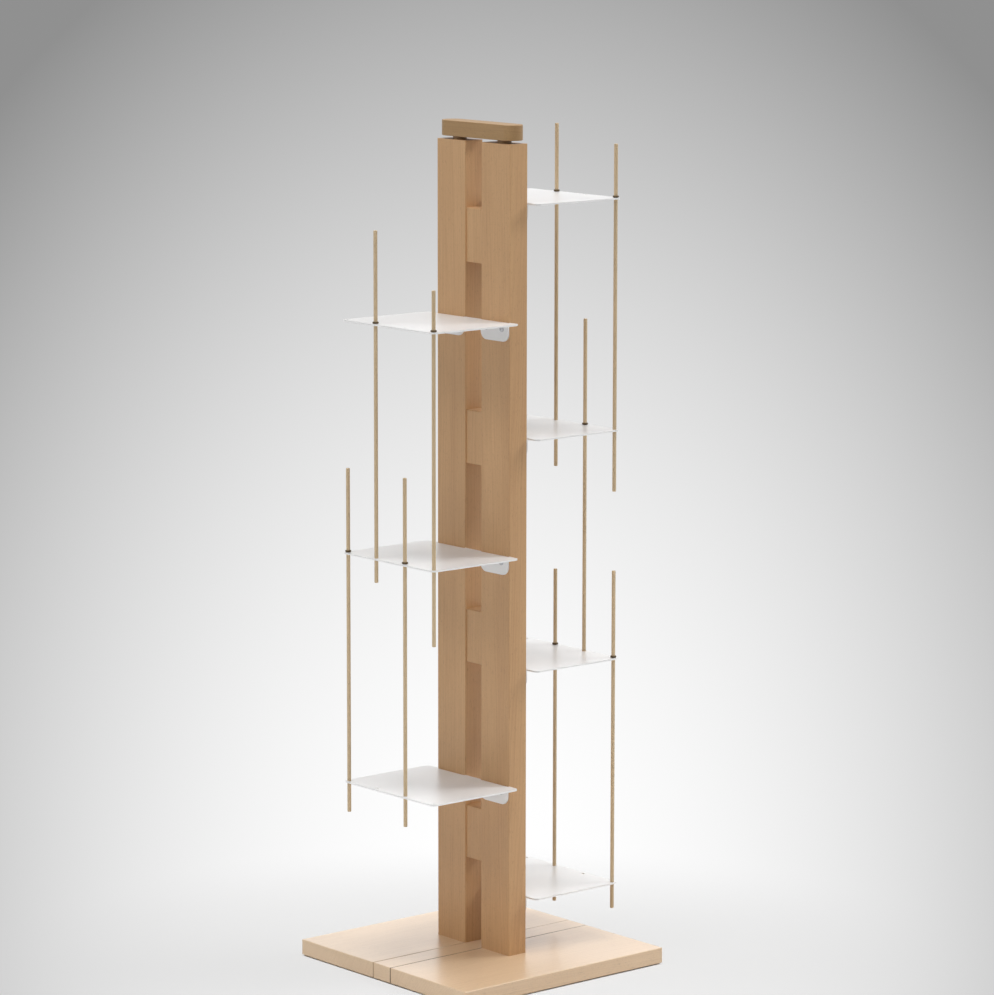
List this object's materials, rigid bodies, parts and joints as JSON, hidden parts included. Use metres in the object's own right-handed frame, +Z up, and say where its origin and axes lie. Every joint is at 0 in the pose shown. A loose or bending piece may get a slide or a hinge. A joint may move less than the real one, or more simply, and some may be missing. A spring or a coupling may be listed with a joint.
{
  "type": "column bookcase",
  "caption": "Free-standing double-sided column bookcase: slotted beech column on a square base, thin bent sheet shelves on both faces, loose wooden rods that keep the books in.",
  "frame": {"origin": "centre of the square base, on the floor", "axes": "+Z up, +X towards the right face of the column, -Y towards its front edge"},
  "size_m": [0.335, 0.335, 1.096],
  "materials": {
    "beech": "lacquered, satin",
    "beech_base": "lacquered, satin",
    "beech_cap": "lacquered, satin",
    "beech_rod": "turned, sanded",
    "white_sheet": "powder coat, fine texture",
    "rubber": "matt",
    "felt": "felt",
    "zinc_steel": "zinc plated",
    "brass": "machined"
  },
  "bodies": {
    "bookcase": {"base_board_front": "beech_base", "base_board_rear": "beech_base", "base_centre_strip": "beech_base", "base_dowels": "beech", "felt_pads": "felt", "post_front": "beech", "post_rear": "beech", "cap": "beech_cap", "cap_washers": "beech_base", "cap_dowels": "beech", "column_bolts": "zinc_steel", "bolt_washers": "zinc_steel", "threaded_inserts": "brass", "spacer_dowels": "beech", "spacer_block_1": "beech", "spacer_block_2": "beech", "spacer_block_3": "beech", "spacer_block_4": "beech", "shelf_left_1": "white_sheet", "shelf_left_2": "white_sheet", "shelf_left_3": "white_sheet", "shelf_right_1": "white_sheet", "shelf_right_2": "white_sheet", "shelf_right_3": "white_sheet", "shelf_right_4": "white_sheet", "shelf_screws_left": "zinc_steel", "shelf_screws_right": "zinc_steel"},
    "retainer_left_upper_1": {"rod_left_upper_1": "beech_rod", "ring_left_upper_1": "rubber"},
    "retainer_left_upper_3": {"rod_left_upper_3": "beech_rod", "ring_left_upper_3": "rubber"},
    "retainer_left_lower_2": {"rod_left_lower_2": "beech_rod", "ring_left_lower_2": "rubber"},
    "retainer_left_lower_4": {"rod_left_lower_4": "beech_rod", "ring_left_lower_4": "rubber"},
    "retainer_right_upper_1": {"rod_right_upper_1": "beech_rod", "ring_right_upper_1": "rubber"},
    "retainer_right_upper_3": {"rod_right_upper_3": "beech_rod", "ring_right_upper_3": "rubber"},
    "retainer_right_middle_2": {"rod_right_middle_2": "beech_rod", "ring_right_middle_2": "rubber"},
    "retainer_right_lower_1": {"rod_right_lower_1": "beech_rod", "ring_right_lower_1": "rubber"},
    "retainer_right_lower_3": {"rod_right_lower_3": "beech_rod", "ring_right_lower_3": "rubber"}
  },
  "joints": [
    {"name": "lift_left_upper_1", "type": "slide", "parent": "bookcase", "child": "retainer_left_upper_1", "axis": [0, 0, 1], "range_m": [0, 0.096]},
    {"name": "lift_left_upper_3", "type": "slide", "parent": "bookcase", "child": "retainer_left_upper_3", "axis": [0, 0, 1], "range_m": [0, 0.03]},
    {"name": "lift_left_lower_2", "type": "slide", "parent": "bookcase", "child": "retainer_left_lower_2", "axis": [0, 0, 1], "range_m": [0, 0.038]},
    {"name": "lift_left_lower_4", "type": "slide", "parent": "bookcase", "child": "retainer_left_lower_4", "axis": [0, 0, 1], "range_m": [0, 0.039]},
    {"name": "lift_right_upper_1", "type": "slide", "parent": "bookcase", "child": "retainer_right_upper_1", "axis": [0, 0, 1], "range_m": [0, 0.079]},
    {"name": "lift_right_upper_3", "type": "slide", "parent": "bookcase", "child": "retainer_right_upper_3", "axis": [0, 0, 1], "range_m": [0, 0.059]},
    {"name": "lift_right_middle_2", "type": "slide", "parent": "bookcase", "child": "retainer_right_middle_2", "axis": [0, 0, 1], "range_m": [0, 0.009]},
    {"name": "lift_right_lower_1", "type": "slide", "parent": "bookcase", "child": "retainer_right_lower_1", "axis": [0, 0, 1], "range_m": [0, 0.033]},
    {"name": "lift_right_lower_3", "type": "slide", "parent": "bookcase", "child": "retainer_right_lower_3", "axis": [0, 0, 1], "range_m": [0, 0.046]}
  ]
}
